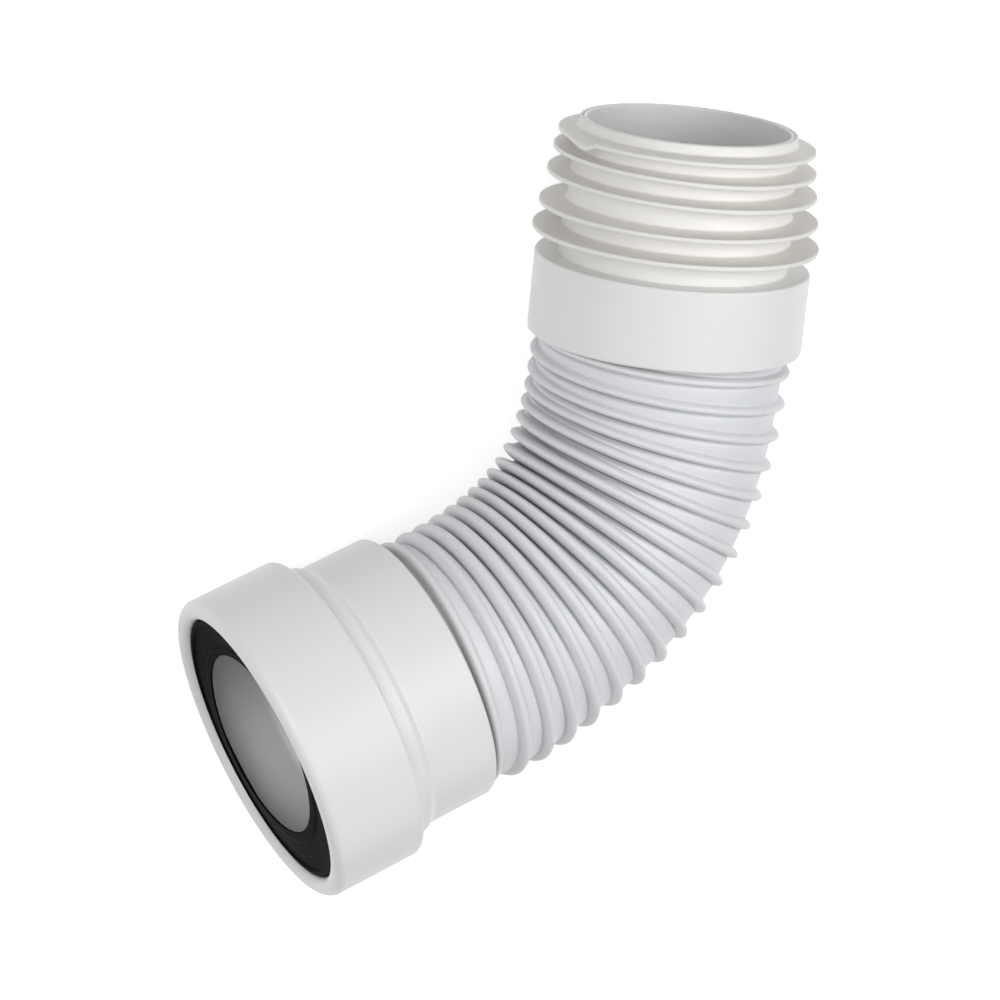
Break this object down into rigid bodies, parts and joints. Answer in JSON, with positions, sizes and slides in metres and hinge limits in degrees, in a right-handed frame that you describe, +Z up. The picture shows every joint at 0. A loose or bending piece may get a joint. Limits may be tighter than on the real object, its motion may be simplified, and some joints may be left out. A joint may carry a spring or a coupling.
{
  "type": "toilet pan connector",
  "caption": "Flexible toilet pan connector: white socket with a black rubber seal, helically ribbed hose held in a bend, and a finned outlet that pushes into a soil pipe.",
  "frame": {"origin": "centre of the bounding box, at the level of the floor that the connector lies on", "axes": "+Z up from the floor, +X along the pan socket towards the hose, seen from above, +Y to the side the hose bends to"},
  "size_m": [0.3054, 0.2476, 0.1328],
  "materials": {
    "socket_plastic": "smooth white moulded plastic, satin gloss",
    "seal_rubber": "black moulded rubber, satin",
    "hose_plastic": "cool white flexible plastic, satin gloss",
    "fin_rubber": "soft warm white moulded sealing plastic"
  },
  "bodies": {
    "root": {"pan_socket": "socket_plastic", "pan_seal": "seal_rubber", "ribbed_hose": "hose_plastic", "outlet_spigot": "socket_plastic", "outlet_fin_seal": "fin_rubber"}
  },
  "joints": []
}
